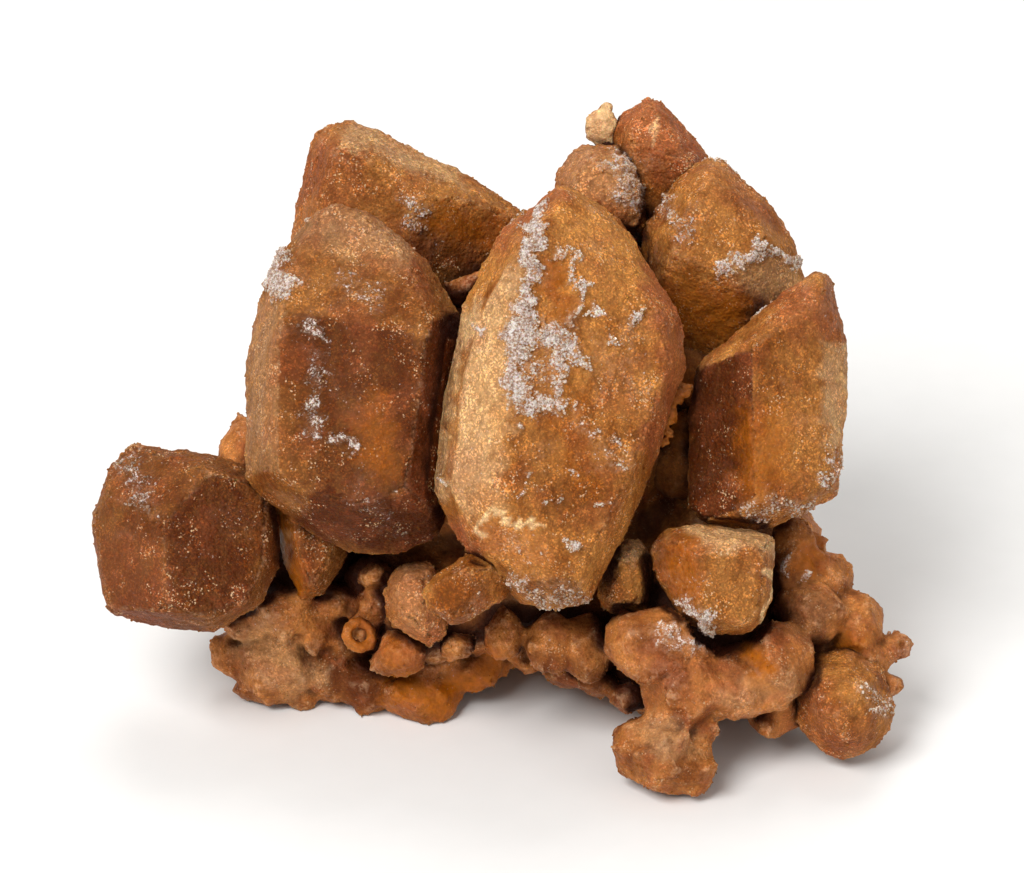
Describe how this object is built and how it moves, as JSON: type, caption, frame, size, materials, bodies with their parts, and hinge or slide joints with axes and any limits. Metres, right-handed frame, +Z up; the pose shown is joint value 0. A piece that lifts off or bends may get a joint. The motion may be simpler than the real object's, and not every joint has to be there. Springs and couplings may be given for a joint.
{
  "type": "hopeite mineral specimen",
  "caption": "Cluster of stout honey-brown hopeite crystals grown together over a knobbly rust-coloured crust, cut flat underneath to stand on display.",
  "frame": {"origin": "middle of the bounding box, on the level of the flat cut underneath", "axes": "+Z up from the flat cut, -Y towards the side that shows, +X to the right as that side is seen"},
  "size_m": [0.0412, 0.0271, 0.0279],
  "materials": {
    "hopeite": "translucent honey-brown crystal with a fine sugary grain, white powdery patches and rust-coloured crust"
  },
  "bodies": {
    "root": {"hopeite_cluster": "hopeite"}
  },
  "joints": []
}
